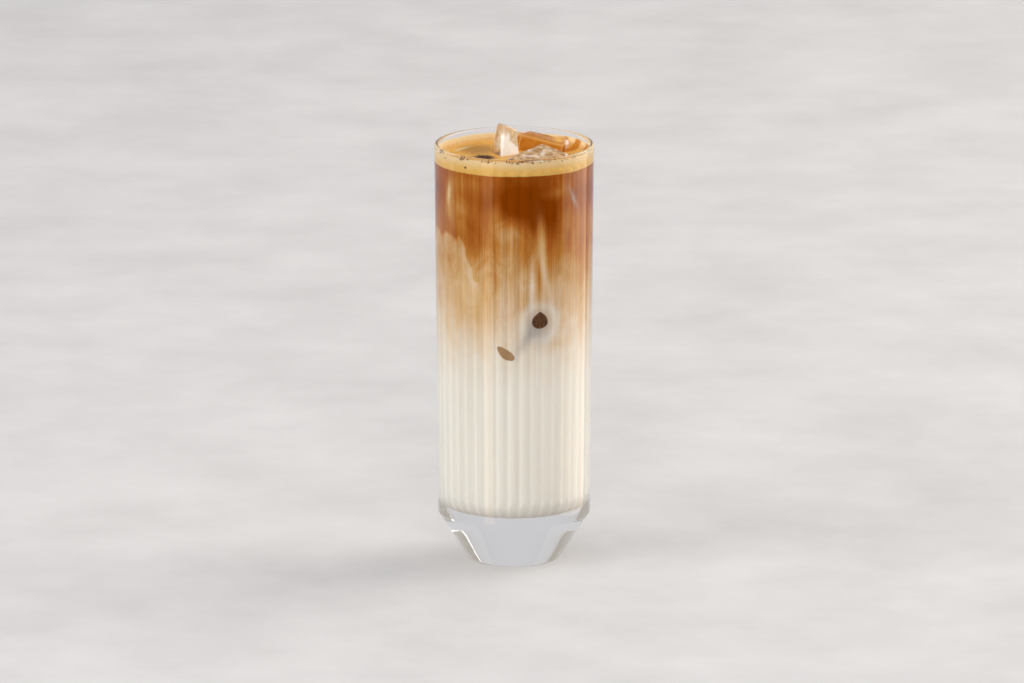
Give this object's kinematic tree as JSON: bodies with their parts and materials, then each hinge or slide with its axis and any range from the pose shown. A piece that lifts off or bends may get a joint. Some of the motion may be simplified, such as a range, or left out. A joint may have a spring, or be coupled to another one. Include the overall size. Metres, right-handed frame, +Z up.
{
  "type": "iced latte in a glass",
  "caption": "Tall iced latte with layers of milk, coffee and crema, ice standing out of it, in a fluted highball glass on a tapered foot",
  "frame": {"origin": "centre of the glass's flat underside, on the surface it stands on", "axes": "+Z up along the glass, +Y away from the front, +X to the right as seen from the front"},
  "size_m": [0.06, 0.06, 0.1659],
  "materials": {
    "clear_glass": "gloss",
    "milk": "gloss",
    "milky_coffee": "gloss",
    "coffee": "gloss",
    "crema": "satin",
    "ice": "gloss"
  },
  "bodies": {
    "root": {"glass": "clear_glass", "milk": "milk", "blend": "milky_coffee", "coffee": "coffee", "crema": "crema", "ice_tall": "ice", "ice_front": "ice", "ice_back": "ice"}
  },
  "joints": []
}
